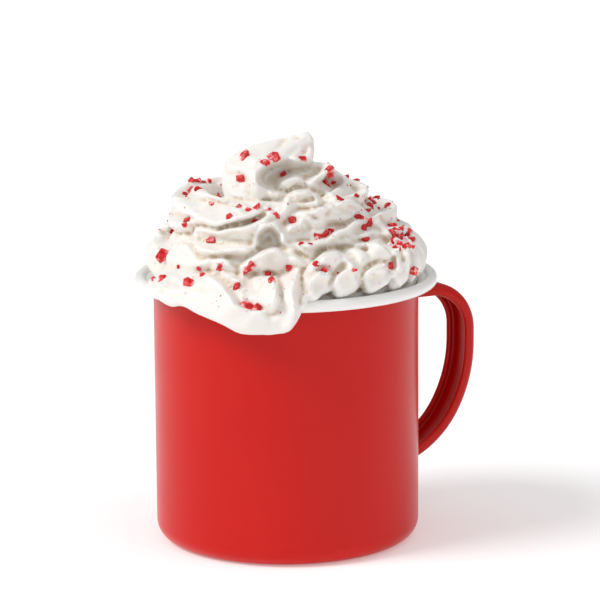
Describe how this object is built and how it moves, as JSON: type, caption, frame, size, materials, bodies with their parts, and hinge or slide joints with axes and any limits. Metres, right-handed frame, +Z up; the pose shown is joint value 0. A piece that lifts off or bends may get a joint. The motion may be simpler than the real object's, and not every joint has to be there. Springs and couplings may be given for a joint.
{
  "type": "hot chocolate with whipped cream in an enamel mug",
  "caption": "Straight-sided enamelled steel mug of hot chocolate, topped with a high piped swirl of whipped cream that runs over the lip and is scattered with crushed candy",
  "frame": {"origin": "centre of the base ring's plane, on the axis of the mug's body, where the mug stands on a table", "axes": "+Z up along the mug's axis, +X along the middle of the handle, away from the body; the cream's front is turned 27 degrees from -Y towards -X"},
  "size_m": [0.1197, 0.1006, 0.1364],
  "materials": {
    "enamel_body": "glossy red vitreous enamel on steel, outside only",
    "enamel_lining": "glossy cool white vitreous enamel on the rolled lip and inside",
    "enamel_handle": "glossy red enamel on a pressed steel strip with rolled edges",
    "cocoa": "milky dark brown liquid with a gloss surface",
    "cream": "soft satin warm white whipped cream with fine air bubbles",
    "candy_red": "glossy crushed hard sugar candy, red",
    "candy_pale": "crushed hard sugar candy, white to pink and slightly clear"
  },
  "bodies": {
    "root": {"mug": "enamel_body", "handle": "enamel_handle", "hot_chocolate": "cocoa", "whipped_cream": "cream"}
  },
  "joints": []
}
